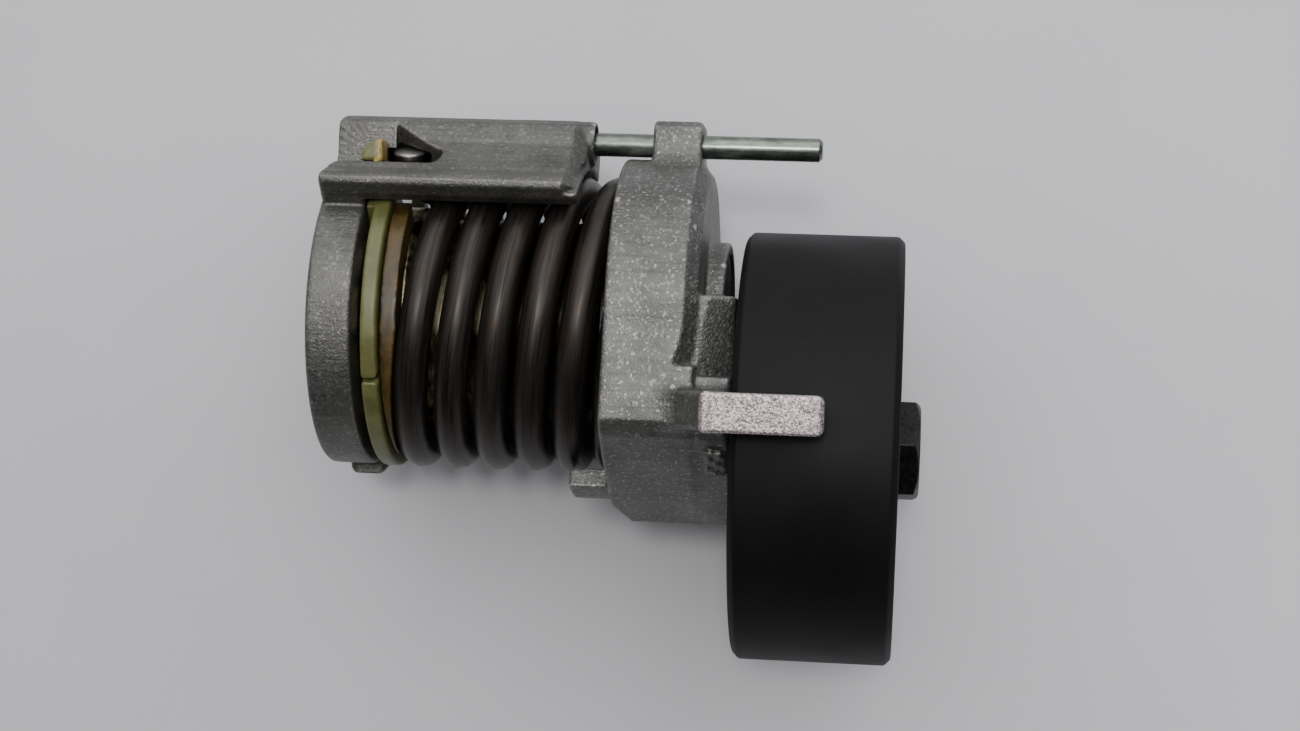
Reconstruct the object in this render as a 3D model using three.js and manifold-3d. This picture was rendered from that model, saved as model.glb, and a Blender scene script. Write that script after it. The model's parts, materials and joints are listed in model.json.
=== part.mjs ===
// Belt tensioner idler: a cast base, a torsion spring, a swinging arm and an idler pulley.
// Millimetres. X runs along the pivot from the rear mounting face, +Z is up.
// An angle phi about the pivot is measured from +Z towards +Y.
import * as THREE from 'three';
import { mergeVertices } from 'three/addons/utils/BufferGeometryUtils.js';
import Module from 'manifold-3d';

const wasm = await Module();
wasm.setup();

// Driving dimensions.
const GAP = 0.3;
const SEGMENTS = 48;
const INNER_SEGMENTS = 32;
const SMALL_SEGMENTS = 24;

const PULLEY_Y = -20.43;
const PULLEY_R = 38;
const PULLEY_X0 = 75.7;
const PULLEY_X1 = 103.45;
const PULLEY_MID = 89.6;
const RIM_CHAMFER = 1.1;

const BASE_R = 26.5;
const BASE_X0 = 1.6;
const BASE_T = 9.5;
const PAD_R = 17.5;
const BRIDGE_INNER_R = 27.6;
const BRIDGE_FROM = 46.5;
const BRIDGE_TO = 109.5;
const BRIDGE_NORMAL = 62.7;
const BRIDGE_X0 = 2;
const BRIDGE_X1 = 47;
const RECESS_Y = 27.1;
const RECESS_FLOOR = 8.4;
const RECESS_STEP = 12.6;

const WIRE_R = 2.93;
const COIL_R = 23.75;
const PITCH = 6.93;
const COIL_AT_TOP = 14.5;
const COIL_LEAN = 1.9;
const LEAN_PHI = 22;
const SPRING_FROM = 89;
const SPRING_TURNS = 6;
const TANG_BEND = 4.6;
const TANG_TURN = 70;
const TANG_LENGTH = 3.6;
const TANG_X = 14.6;

const DRUM_R = 30;
const DRUM_X0 = 53.4;
const DRUM_X1 = 69;
const CUP_R = 27.7;
const CUP_FLOOR = 62.9;
const ARM_TUBE_R = 16.9;
const ARM_BORE_R = 12;
const HUB_R = 15.6;
const HUB_X1 = 72.6;
const BOSS_X1 = 75.2;

const SHAFT_R = 9;
const PIN_R = 2.1;
const PIN_Y = 32.3;
const PIN_Z = 3;
const PIN_X0 = 42.7;
const PIN_X1 = 88.3;
const PIN_BORE_R = 2.45;
const PIN_BOSS_X1 = 48;

const BEARING_HALF = 7;
const BEARING_BORE_R = 8.5;
const BEARING_OUTER_R = 20;
const BALL_R = 3.3;
const BALL_PITCH_R = 14.4;
const BALLS = 8;

const BOLT_R = 5;
const BOLT_AF = 16.4;
const BOLT_HEAD_X0 = 101.2;
const BOLT_X1 = 107.3;
const BOLT_TURN = 8.7;

// Materials.
function finish(color, roughness, metalness) {
  return new THREE.MeshStandardMaterial({ color, roughness, metalness });
}
const CAST = finish(0x8f918f, 0.55, 0.9);
const SPRING_STEEL = finish(0x2e2824, 0.45, 0.8);
const BRIGHT_STEEL = finish(0xb9b6a8, 0.3, 1);
const ZINC = finish(0x9aa39a, 0.3, 1);
const BLACK_OXIDE = finish(0x1d1d1e, 0.5, 0.6);
const PULLEY_BLACK = finish(0x1a1a1b, 0.6, 0.1);
const CREAM_NYLON = finish(0xcfd2a2, 0.5, 0);
const AMBER_NYLON = finish(0x7a5a1e, 0.35, 0);
const BRONZE = finish(0x9c7a45, 0.4, 0.9);
const BLACK_RUBBER = finish(0x161616, 0.8, 0);

// Helpers.
const radians = THREE.MathUtils.degToRad;

function polar(r, phi) {
  return new THREE.Vector2(r * Math.sin(radians(phi)), r * Math.cos(radians(phi)));
}

function toSolid(geometry) {
  const flat = geometry.clone();
  flat.deleteAttribute('normal');
  flat.deleteAttribute('uv');
  const merged = mergeVertices(flat, 1e-4);
  const triVerts = new Uint32Array(merged.index.array);
  const vertProperties = new Float32Array(merged.attributes.position.array);
  if (signedVolume(vertProperties, triVerts) < 0) {
    for (let i = 0; i < triVerts.length; i += 3) {
      [triVerts[i], triVerts[i + 1]] = [triVerts[i + 1], triVerts[i]];
    }
  }
  return new wasm.Manifold(new wasm.Mesh({ numProp: 3, vertProperties, triVerts }));
}

function signedVolume(positions, indices) {
  const a = new THREE.Vector3();
  const b = new THREE.Vector3();
  const c = new THREE.Vector3();
  let volume = 0;
  for (let i = 0; i < indices.length; i += 3) {
    a.fromArray(positions, indices[i] * 3);
    b.fromArray(positions, indices[i + 1] * 3);
    c.fromArray(positions, indices[i + 2] * 3);
    volume += a.dot(b.cross(c)) / 6;
  }
  return volume;
}

function toMesh(solid, name, material) {
  const data = solid.getMesh();
  const geometry = new THREE.BufferGeometry();
  geometry.setAttribute('position', new THREE.BufferAttribute(data.vertProperties, 3));
  geometry.setIndex(new THREE.BufferAttribute(data.triVerts, 1));
  geometry.computeVertexNormals();
  const mesh = new THREE.Mesh(geometry, material);
  mesh.name = name;
  return mesh;
}

function join(...solids) {
  return solids.reduce((whole, next) => whole.add(next));
}

function cut(solid, ...tools) {
  return tools.reduce((left, tool) => left.subtract(tool), solid);
}

// A ring or disc about an axis parallel to X. The profile is a list of [x, radius].
function turned(profile, y = 0, z = 0, segments = SEGMENTS) {
  const points = profile.map(([x, r]) => new THREE.Vector2(r, x));
  if (profile.every(([, r]) => r > 0)) points.push(points[0].clone());
  const geometry = new THREE.LatheGeometry(points, segments);
  geometry.rotateZ(-Math.PI / 2);
  geometry.translate(0, y, z);
  return toSolid(geometry);
}

function rod(r, x0, x1, y = 0, z = 0, chamfer = 0, segments = SEGMENTS) {
  const profile = chamfer
    ? [[x0, 0], [x0, r - chamfer], [x0 + chamfer, r], [x1 - chamfer, r], [x1, r - chamfer], [x1, 0]]
    : [[x0, 0], [x0, r], [x1, r], [x1, 0]];
  return turned(profile, y, z, segments);
}

function ring(inner, outer, x0, x1, y = 0, z = 0, segments = INNER_SEGMENTS) {
  return turned([[x0, inner], [x0, outer], [x1, outer], [x1, inner]], y, z, segments);
}

// A prism of a (y, z) outline, from x0 to x1.
function prism(outline, x0, x1) {
  const shape = new THREE.Shape(outline.map(([y, z]) => new THREE.Vector2(y, z)));
  const geometry = new THREE.ExtrudeGeometry(shape, { depth: x1 - x0, bevelEnabled: false });
  geometry.applyMatrix4(new THREE.Matrix4().set(0, 0, 1, x0, 1, 0, 0, 0, 0, 1, 0, 0, 0, 0, 0, 1));
  return toSolid(geometry);
}

function block(x0, x1, y0, y1, z0, z1) {
  return prism([[y0, z0], [y1, z0], [y1, z1], [y0, z1]], x0, x1);
}

function arc(r, from, to, steps) {
  const points = [];
  for (let i = 0; i <= steps; i += 1) {
    const p = polar(r, from + ((to - from) * i) / steps);
    points.push([p.x, p.y]);
  }
  return points;
}

function sector(inner, outer, from, to, x0, x1) {
  const steps = Math.max(2, Math.ceil(Math.abs(to - from) / 8));
  return prism([...arc(inner, from, to, steps), ...arc(outer, to, from, steps)], x0, x1);
}

// The bridge's flat face has its own axes: s runs up along it, t out from the pivot.
function onBridge(s, t) {
  const out = polar(t, BRIDGE_NORMAL);
  const up = polar(s, BRIDGE_NORMAL + 90);
  return [out.x + up.x, out.y + up.y];
}

// A prism of an (x, s) outline that stands on the bridge's face, from t0 to t1.
function bridgePrism(outline, t0, t1) {
  const shape = new THREE.Shape(outline.map(([x, s]) => new THREE.Vector2(x, s)));
  const geometry = new THREE.ExtrudeGeometry(shape, { depth: t1 - t0, bevelEnabled: false });
  const up = polar(1, BRIDGE_NORMAL + 90);
  const out = polar(1, BRIDGE_NORMAL);
  geometry.applyMatrix4(
    new THREE.Matrix4().set(
      1, 0, 0, 0,
      0, up.x, out.x, out.x * t0,
      0, up.y, out.y, out.y * t0,
      0, 0, 0, 1
    )
  );
  return toSolid(geometry);
}

// A prism of an (x, y) plan outline. Its lower face follows floorAt(x, y).
function planPrism(outline, top, floorAt) {
  const shape = new THREE.Shape(outline.map(([x, y]) => new THREE.Vector2(x, y)));
  const geometry = new THREE.ExtrudeGeometry(shape, { depth: top, bevelEnabled: false });
  const place = geometry.attributes.position;
  for (let i = 0; i < place.count; i += 1) {
    if (place.getZ(i) < top / 2) place.setZ(i, floorAt(place.getX(i), place.getY(i)));
  }
  return toSolid(geometry);
}

// Base: disc, boss, long bridge over the coils with its window, and a lower ear.
function bridgeBody() {
  const under = arc(BRIDGE_INNER_R, BRIDGE_TO, BRIDGE_FROM, 12);
  const rail = [[-7.7, 26.9], [-8.9, 28.2], [-9.8, 30.6], [-9.4, 31.6], [-8.3, 32], [-3.6, 31], [-3, 31.2]];
  const face = [[4.9, 32.6], [9, 34.9], [11.7, 34.6], [15.8, 32.7], [19.1, 30.4], [22.6, 27.4], [24, 23.2]];
  const section = [...under, ...[...rail, ...face].map(([s, t]) => onBridge(s, t))];
  const plate = cut(prism(section, BRIDGE_X0, BRIDGE_X1), bridgeEnd());
  const root = sector(20, 29.4, BRIDGE_FROM, BRIDGE_TO, BRIDGE_X0, BASE_T);
  return join(plate, root);
}

// The bevel on the outer edge of the bridge's far end.
function bridgeEnd() {
  const bevel = 2.4;
  const outer = 37;
  const x = BRIDGE_X1 + 0.1;
  const section = [[x - bevel, outer], [x, outer - bevel], [x, outer]];
  return planPrism(section, 40, () => -20).intersect(block(0, 60, 20, 40, -20, 40));
}

// A level floor on the left, a wall that slopes down from the slanted edge, and a slot below.
function bridgeWindow() {
  const rimY = 34.3;
  const openX = BRIDGE_X0 - 1;
  const stepX = RECESS_STEP + 0.1;
  const level = [[openX, RECESS_Y], [stepX, RECESS_Y], [stepX, rimY], [openX, rimY]];
  const slantX = 13.3;
  const slanted = [
    [RECESS_STEP, RECESS_Y], [19.2, RECESS_Y], [21.2, 27.5], [21.9, 29], [21.4, 30.1],
    [slantX, rimY], [RECESS_STEP, rimY]
  ];
  const rise = { alongX: 0.844, alongY: 0.684 };
  const wall = (x, y) => RECESS_FLOOR + 0.2 + rise.alongX * (x - slantX) + rise.alongY * (y - rimY);
  const slot = [
    [7.2, -1.4], [18.7, -1.4], [19.6, 1.2], [18.6, 11.7], [10.9, 11.7], [10.9, 3.8], [7.2, 3.8]
  ];
  return join(
    planPrism(level, 40, () => RECESS_FLOOR), planPrism(slanted, 40, wall), bridgePrism(slot, 22, 30.6)
  );
}

function pinSocket() {
  const mouthR = 3.5;
  const x0 = PIN_X0 - 1.2;
  const x1 = PIN_BOSS_X1 + 0.5;
  return turned([[x0, 0], [x0, PIN_BORE_R], [x1, mouthR], [x1, 0]], PIN_Y, PIN_Z, SMALL_SEGMENTS);
}

function baseCasting() {
  const edge = 1.3;
  const disc = turned([
    [0, 0], [0, PAD_R], [BASE_X0, PAD_R], [BASE_X0, BASE_R - edge], [BASE_X0 + edge, BASE_R],
    [BASE_T, BASE_R], [BASE_T, 0]
  ]);
  const boss = rod(15, BASE_T - 1, 16);
  const ear = sector(24, 29, -128, -97, 3.5, 10.3);
  const pinBoss = turned(
    [[30, 0], [30, 3.4], [34, 4], [PIN_BOSS_X1, 4], [PIN_BOSS_X1, 0]], PIN_Y, PIN_Z, SMALL_SEGMENTS
  );
  const bores = [rod(SHAFT_R + GAP, 3, 20), pinSocket(), bridgeWindow()];
  for (const phi of [30, 150, 270]) {
    const p = polar(21.5, phi);
    bores.push(rod(3, -1, 8, p.x, p.y, 0, SMALL_SEGMENTS));
  }
  return cut(join(disc, boss, bridgeBody(), ear, pinBoss), ...bores);
}

// Pivot, sleeve and the two nylon rings at the spring's rear end.
function pivotShaft() {
  const grooveR = 8;
  return turned([
    [3.3, 0], [3.3, SHAFT_R - 0.8], [4.1, SHAFT_R], [68.7, SHAFT_R], [68.7, grooveR],
    [69.9, grooveR], [69.9, SHAFT_R], [70.6, SHAFT_R - 0.7], [70.6, 0]
  ], 0, 0, INNER_SEGMENTS);
}

function guideSleeve() {
  const inner = 17.2;
  const step = 20.2;
  return turned([
    [9.8, inner], [9.8, step], [17.4, step], [18.6, 18.2], [50.6, 18.2], [51.4, 17.8], [51.4, inner]
  ], 0, 0, INNER_SEGMENTS);
}

// The coils lean a little, so a sine is added to the helix.
function coilX(phi) {
  return COIL_AT_TOP + (PITCH * phi) / 360 + COIL_LEAN * Math.sin(radians(phi - LEAN_PHI));
}

// The amber seat is a ramp: its spring side follows the first coil.
function springSeat() {
  const from = 285;
  const to = 413;
  const x0 = 14.4;
  const x1 = 17.2;
  const steps = 16;
  const outline = [...arc(20.6, from, to, steps), ...arc(25.2, to, from, steps)];
  const shape = new THREE.Shape(outline.map(([y, z]) => new THREE.Vector2(y, z)));
  const geometry = new THREE.ExtrudeGeometry(shape, { depth: x1 - x0, bevelEnabled: false });
  geometry.applyMatrix4(new THREE.Matrix4().set(0, 0, 1, x0, 1, 0, 0, 0, 0, 1, 0, 0, 0, 0, 0, 1));
  const place = geometry.attributes.position;
  for (let i = 0; i < place.count; i += 1) {
    if (place.getX(i) > x0 + 1) {
      let phi = THREE.MathUtils.radToDeg(Math.atan2(place.getY(i), place.getZ(i)));
      while (phi < from - 5) phi += 360;
      place.setX(i, Math.min(x1, coilX(phi) - WIRE_R - GAP));
    }
  }
  return toSolid(geometry);
}

function damperShoe(from, to) {
  return sector(20.6, 26.7, from, to, 11.3, 14.1);
}

// The upper shoe's tab reaches out through the bridge's slot and stands on the recess's floor.
function damperShoeUpper() {
  const foot = sector(21, 26.4, 46, 68, 9.8, 12);
  const neck = sector(24, 31, 62, 68, 9.8, 10.8);
  const tabX1 = 11.2;
  const tabR = 3.9;
  const tab = [[tabX1, RECESS_Y + 0.3]];
  for (let angle = 90; angle <= 180; angle += 15) {
    const a = radians(angle);
    tab.push([tabX1 + tabR * Math.cos(a), RECESS_Y + 0.3 + tabR * Math.sin(a)]);
  }
  const thumb = planPrism(tab, 13.4, () => RECESS_FLOOR + 0.3);
  return join(damperShoe(-24, 57), foot, neck, thumb);
}

// Spring: the rear end turns outwards into the bridge's window.
class SpringPath extends THREE.Curve {
  constructor() {
    super();
    this.bendLength = TANG_BEND * radians(TANG_TURN);
    this.coilLength = 2 * Math.PI * COIL_R * SPRING_TURNS;
    this.total = TANG_LENGTH + this.bendLength + this.coilLength;
  }

  getPoint(share, target = new THREE.Vector3()) {
    const rest = TANG_LENGTH + this.bendLength - share * this.total;
    if (rest <= 0) {
      const phi = SPRING_FROM - (rest / this.coilLength) * 360 * SPRING_TURNS;
      const p = polar(COIL_R, phi);
      return target.set(coilX(phi), p.x, p.y);
    }
    const start = polar(1, SPRING_FROM);
    const back = polar(1, SPRING_FROM - 90);
    const turn = Math.min(rest / TANG_BEND, radians(TANG_TURN));
    const straight = Math.max(0, rest - this.bendLength);
    const out = COIL_R + TANG_BEND * (1 - Math.cos(turn)) + straight * Math.sin(turn);
    const side = TANG_BEND * Math.sin(turn) + straight * Math.cos(turn);
    const x = THREE.MathUtils.lerp(coilX(SPRING_FROM), TANG_X, turn / radians(TANG_TURN));
    return target.set(x, start.x * out + back.x * side, start.y * out + back.y * side);
  }
}

function torsionSpring() {
  const sides = 8;
  const section = new THREE.Shape(
    Array.from({ length: sides }, (_, i) => {
      const a = (2 * Math.PI * i) / sides;
      return new THREE.Vector2(WIRE_R * Math.cos(a), WIRE_R * Math.sin(a));
    })
  );
  const steps = 114;
  return toSolid(
    new THREE.ExtrudeGeometry(section, { steps, bevelEnabled: false, extrudePath: new SpringPath() })
  );
}

// Arm: cup over the spring, tube on the pivot, hub, pulley boss, ear, stub and wrench lug.
function armOutline() {
  return [
    ...arc(DRUM_R, 0, 228, 38),
    [-30, -15.5], [-33.8, -8], [-35, 0],
    [-30.5, 11.4], [-23, 24.9], [-18.8, 31], [-16, 33], [-14.2, 32.8]
  ];
}

function webOutline() {
  return [
    [5.3, 12], [5.3, 26.4], [0, 27], [-6.5, 27.4], [-8.2, 29.6], [-14.2, 31.6], [-16, 32.4], [-18.8, 31],
    [-23, 24.9], [-30.5, 11.4], [-35, 0], [-33.8, -8], [-30, -14], [-20, -18], [-4, -15]
  ];
}

function drumEdge() {
  const outer = 60;
  const slope = 2.2;
  const x1 = DRUM_X1 + 0.1;
  return turned([
    [x1 - slope, DRUM_R + 0.2], [x1, DRUM_R - 2.6], [x1, outer], [x1 - slope, outer]
  ]).intersect(block(DRUM_X0, DRUM_X1 + 1, -6.5, outer, -outer, outer));
}

// The lug reaches over the pulley, and a curved gusset carries it down to the drum.
function wrenchLug() {
  const under = 40.3;
  const top = 47.6;
  const y0 = -17.2;
  const y1 = -10.7;
  const bar = [
    [y0, under], [y1, under], [y1, top - 0.8], [y1 - 0.8, top], [y0 + 0.8, top], [y0, top - 0.8]
  ];
  const flank = [
    [57, 27], [62.5, 30.4], [66.5, 34], [69.6, 39], [71.4, 45], [BOSS_X1, 45], [BOSS_X1, 27]
  ];
  const shape = new THREE.Shape(flank.map(([x, z]) => new THREE.Vector2(x, z)));
  const gusset = new THREE.ExtrudeGeometry(shape, { depth: y1 - y0, bevelEnabled: false });
  gusset.applyMatrix4(new THREE.Matrix4().set(1, 0, 0, 0, 0, 0, -1, y1, 0, 1, 0, 0, 0, 0, 0, 1));
  return join(prism(bar, 71.4, 91.3), toSolid(gusset));
}

function armCasting() {
  const drum = cut(prism(armOutline(), DRUM_X0, DRUM_X1), drumEdge());
  const web = prism(webOutline(), DRUM_X1 - 1, BOSS_X1);
  const hub = rod(HUB_R, DRUM_X1 - 1, HUB_X1, 0, 0, 0.5);
  const tube = rod(ARM_TUBE_R, 17.2, CUP_FLOOR + 1);
  const spigot = turned([
    [70, 0], [70, 13], [82.3, 12], [82.3, 8.2], [95.4, 8.2], [95.4, 0]
  ], PULLEY_Y);
  const ear = prism([
    [28.5, -5.5], [35.4, -4.5], [36.6, -3.2], [36.6, 5.4], [35.4, 6.9], [30.6, 7.6], [28.4, 9.4]
  ], 58.4, 67.1);
  const stub = sector(27.9, 31.3, -81, -65, 46.3, DRUM_X0 + 3);
  const cup = cut(rod(CUP_R, DRUM_X0 - 1, CUP_FLOOR), rod(ARM_TUBE_R, DRUM_X0 - 2, CUP_FLOOR + 1));
  const corner = [[DRUM_X0 - 0.5, -30.9], [DRUM_X0 + 3.1, -35.2], [DRUM_X0 - 0.5, -35.2]];
  const lowCorner = planPrism(corner, 30, () => -30);
  return cut(
    join(cut(drum, cup, lowCorner), tube, web, hub, spigot, ear, stub, wrenchLug()),
    rod(ARM_BORE_R, 16, 66.6),
    rod(13.6, 66.5, HUB_X1 + 1),
    rod(BOLT_R + GAP, 71.5, 97, PULLEY_Y, 0, 0, SMALL_SEGMENTS),
    rod(PIN_BORE_R, 56, 70, PIN_Y, PIN_Z, 0, SMALL_SEGMENTS)
  );
}

// Pulley, bearing and bolt.
function pulleyRim() {
  const inner = 33.4;
  return turned([
    [PULLEY_X0, inner + 1], [PULLEY_X0, PULLEY_R - RIM_CHAMFER], [PULLEY_X0 + RIM_CHAMFER, PULLEY_R],
    [PULLEY_X1 - RIM_CHAMFER, PULLEY_R], [PULLEY_X1, PULLEY_R - RIM_CHAMFER], [PULLEY_X1, inner + 1],
    [PULLEY_MID + 4, inner], [PULLEY_MID - 4, inner]
  ], PULLEY_Y);
}

// The disc between rim and bearing gets thicker towards the bearing.
function pulleyHubDisc() {
  const bore = BEARING_OUTER_R + GAP;
  const outer = 33.1;
  const thick = BEARING_HALF + 0.4;
  const thin = 3;
  return turned([
    [PULLEY_MID - thick, bore], [PULLEY_MID - thick, bore + 2.4], [PULLEY_MID - thin, outer],
    [PULLEY_MID + thin, outer], [PULLEY_MID + thick, bore + 2.4], [PULLEY_MID + thick, bore]
  ], PULLEY_Y);
}

function bearingRing(land, groove, far) {
  const x0 = PULLEY_MID - BEARING_HALF;
  const x1 = PULLEY_MID + BEARING_HALF;
  const half = 3.8;
  return turned([
    [x0, far], [x0, land], [PULLEY_MID - half, land], [PULLEY_MID - half + 1.6, groove],
    [PULLEY_MID + half - 1.6, groove], [PULLEY_MID + half, land], [x1, land], [x1, far]
  ], PULLEY_Y, 0, INNER_SEGMENTS);
}

function ballPlace(i) {
  const p = polar(BALL_PITCH_R, (360 / BALLS) * i);
  return new THREE.Vector3(PULLEY_MID, p.x + PULLEY_Y, p.y);
}

function ballCage() {
  const half = 4.8;
  const pockets = [];
  for (let i = 0; i < BALLS; i += 1) {
    const geometry = new THREE.CylinderGeometry(BALL_R + GAP, BALL_R + GAP, 8, 12);
    geometry.rotateX((Math.PI * 2 * -i) / BALLS + Math.PI / 2);
    const place = ballPlace(i);
    geometry.translate(place.x, place.y, place.z);
    pockets.push(toSolid(geometry));
  }
  return cut(ring(13.6, 15.2, PULLEY_MID - half, PULLEY_MID + half, PULLEY_Y, 0, 48), ...pockets);
}

function ball(i) {
  const geometry = new THREE.SphereGeometry(BALL_R, 10, 7);
  const place = ballPlace(i);
  geometry.translate(place.x, place.y, place.z);
  return toSolid(geometry);
}

function hexHead() {
  const corner = BOLT_AF / Math.sqrt(3);
  const outline = [];
  for (let i = 0; i < 6; i += 1) {
    const p = polar(corner, 60 * i + BOLT_TURN);
    outline.push([p.x + PULLEY_Y, p.y]);
  }
  const edge = 1.1;
  const dome = turned([
    [BOLT_HEAD_X0 - 1, 0], [BOLT_HEAD_X0 - 1, corner + 1], [BOLT_X1 - edge, corner + 0.1],
    [BOLT_X1, corner - 1.7], [BOLT_X1, 0]
  ], PULLEY_Y);
  return prism(outline, BOLT_HEAD_X0, BOLT_X1).intersect(dome);
}

function pulleyBolt() {
  return hexHead().add(rod(BOLT_R, 72, BOLT_HEAD_X0 + 1, PULLEY_Y, 0, 0.7, SMALL_SEGMENTS));
}

function dustShield() {
  return turned([
    [96.9, BOLT_R + 0.6], [96.9, 9.4], [97.7, 10.2], [97.7, 23.4], [98.9, 24.6], [99.7, 24.6],
    [98.5, 23.4], [98.5, BOLT_R + 0.6]
  ], PULLEY_Y, 0, INNER_SEGMENTS);
}

const group = new THREE.Group();

function put(solid, name, material) {
  group.add(toMesh(solid, name, material));
}

put(baseCasting(), 'base_casting', CAST);
put(pivotShaft(), 'pivot_shaft', BRIGHT_STEEL);
put(guideSleeve(), 'spring_guide_sleeve', BRIGHT_STEEL);
put(springSeat(), 'spring_seat_ramp', AMBER_NYLON);
put(damperShoeUpper(), 'damper_shoe_upper', CREAM_NYLON);
put(damperShoe(118, 334), 'damper_shoe_lower', CREAM_NYLON);
put(torsionSpring(), 'torsion_spring', SPRING_STEEL);

put(armCasting(), 'arm_casting', CAST);
put(ring(SHAFT_R + GAP, ARM_BORE_R - GAP, 18, 38), 'pivot_bush_rear', BRONZE);
put(ring(SHAFT_R + GAP, ARM_BORE_R - GAP, 46, 66), 'pivot_bush_front', BRONZE);
put(ring(SHAFT_R + GAP, 15.6, 16.2, 17), 'thrust_washer_rear', BRONZE);
put(ring(SHAFT_R + GAP, 13.3, 66.9, 68.5), 'thrust_washer_front', BRONZE);
put(ring(8.3, 12.6, 68.9, 69.7), 'retaining_ring', BRIGHT_STEEL);
put(rod(13.3, 71, 72.1, 0, 0, 0.3), 'hub_cap', BLACK_RUBBER);
put(pulleyBolt(), 'pulley_bolt', BLACK_OXIDE);
put(ring(BOLT_R + GAP, 10.4, 98.8, 100.9, PULLEY_Y), 'bolt_washer', ZINC);
put(dustShield(), 'front_dust_shield', ZINC);
put(bearingRing(12.6, 10.8, BEARING_BORE_R), 'bearing_inner_ring', BRIGHT_STEEL);

put(pulleyRim(), 'pulley_rim', PULLEY_BLACK);
put(pulleyHubDisc(), 'pulley_hub_disc', PULLEY_BLACK);
put(bearingRing(16.2, 18, BEARING_OUTER_R), 'bearing_outer_ring', BRIGHT_STEEL);
put(ring(12.9, 15.9, 83.1, 84.3, PULLEY_Y), 'bearing_seal_rear', BLACK_RUBBER);
put(ring(12.9, 15.9, 94.9, 96.1, PULLEY_Y), 'bearing_seal_front', BLACK_RUBBER);

put(ballCage(), 'ball_cage', BRONZE);
for (let i = 0; i < BALLS; i += 1) {
  put(ball(i), `bearing_ball_${i + 1}`, BRIGHT_STEEL);
}

put(rod(PIN_R, PIN_X0, PIN_X1, PIN_Y, PIN_Z, 0.6, SMALL_SEGMENTS), 'lock_pin', ZINC);

export default group;
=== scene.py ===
"""Belt tensioner idler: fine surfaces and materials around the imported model. Lengths are in millimetres."""
import json
import math

import bmesh
import bpy
import numpy as np
import openvdb
from mathutils import Matrix, Vector


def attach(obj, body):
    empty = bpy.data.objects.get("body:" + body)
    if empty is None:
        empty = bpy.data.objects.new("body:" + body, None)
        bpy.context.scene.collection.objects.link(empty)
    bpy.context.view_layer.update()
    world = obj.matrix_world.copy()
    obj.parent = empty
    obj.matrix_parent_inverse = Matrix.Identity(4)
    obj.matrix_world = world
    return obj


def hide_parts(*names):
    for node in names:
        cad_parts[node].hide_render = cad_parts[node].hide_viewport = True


MM = 0.001
SEGMENTS = 144

PULLEY_Y = -20.43
PULLEY_R = 38.0
PULLEY_X0 = 75.7
PULLEY_X1 = 103.45
PULLEY_MID = 89.6

BASE_R = 26.5
BASE_X0 = 1.6
BASE_T = 9.5
PAD_R = 17.5
SCREW_R = 3.0
SCREW_CIRCLE_R = 21.5
SCREW_ANGLES = (30, 150, 270)
BRIDGE_INNER_R = 27.6
BRIDGE_FROM = 46.5
BRIDGE_TO = 109.5
BRIDGE_NORMAL = 62.7
BRIDGE_X0 = 2.0
BRIDGE_X1 = 47.0
RECESS_Y = 27.1
RECESS_RIM_Y = 34.3
RECESS_FLOOR = 8.4
RECESS_STEP = 12.6

WIRE_R = 2.93
COIL_R = 23.75
PITCH = 6.93
COIL_AT_TOP = 14.5
COIL_LEAN = 1.9
LEAN_PHI = 22.0
SPRING_FROM = 89.0
SPRING_TURNS = 6
TANG_BEND = 4.6
TANG_TURN = 70.0
TANG_LENGTH = 3.6
TANG_X = 14.6

DRUM_R = 30.0
DRUM_X0 = 53.4
DRUM_X1 = 69.0
CUP_R = 27.7
CUP_FLOOR = 62.9
BOSS_X1 = 75.2
HUB_R = 15.6
HUB_X1 = 72.6
ARM_TUBE_R = 16.9
ARM_BORE_R = 12.0
ARM_BORE_X1 = 66.6
CAP_BORE_R = 13.6
BOLT_BORE_R = 5.3
LUG_Y0 = -17.2
LUG_Y1 = -10.7
LUG_X0 = 71.4
LUG_X1 = 91.3
LUG_UNDER = 40.3
LUG_TOP = 47.6

PIN_R = 2.1
PIN_Y = 32.3
PIN_Z = 3.0
PIN_X0 = 42.7
PIN_X1 = 88.3
PIN_BOSS_X1 = 48.0
PIN_BORE_R = 2.5
PIN_SOCKET_R = 2.45
PIN_SOCKET_MOUTH_R = 3.5

BOLT_AF = 16.4
BOLT_HEAD_X0 = 101.2
BOLT_X1 = 107.3
BOLT_TURN = 8.7

CAMERA_AT = (100.02, -6.88, 406.14)
CAMERA_AXES = ((0.99415, 0.03709, -0.10136), (-0.03690, 0.99930, 0.00376), (0.10143, 0.0, 0.99484))
CAMERA_LENS = 62.85
FLOOR_POINT = (75.7, -20.4, -38.05)
FLOOR_TILT = 7.4
FLOOR_SIZE = 3.0
KEY_ENERGY = 0.9
KEY_ANGLE = 9.0
KEY_FROM = (0.02, 0.15, 1.0)
DOME_FROM = (0.05, 0.62, 0.78)
DOME_EDGE = 0.45
DOME_DIM = 0.1
DOME_BRIGHT = 2.9

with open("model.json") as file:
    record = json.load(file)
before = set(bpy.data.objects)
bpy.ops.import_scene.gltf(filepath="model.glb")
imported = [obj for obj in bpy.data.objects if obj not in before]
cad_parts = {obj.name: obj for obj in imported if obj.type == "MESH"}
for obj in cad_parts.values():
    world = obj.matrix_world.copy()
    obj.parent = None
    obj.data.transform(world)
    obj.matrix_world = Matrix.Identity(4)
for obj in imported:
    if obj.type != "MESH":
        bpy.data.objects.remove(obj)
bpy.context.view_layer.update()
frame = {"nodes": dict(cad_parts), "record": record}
joined = bpy.context.scene.collection


# Points and paths.
def polar(radius, phi):
    angle = math.radians(phi)
    return radius * math.sin(angle), radius * math.cos(angle)


def on_bridge(s, t):
    out = polar(t, BRIDGE_NORMAL)
    up = polar(s, BRIDGE_NORMAL + 90)
    return out[0] + up[0], out[1] + up[1]


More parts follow.
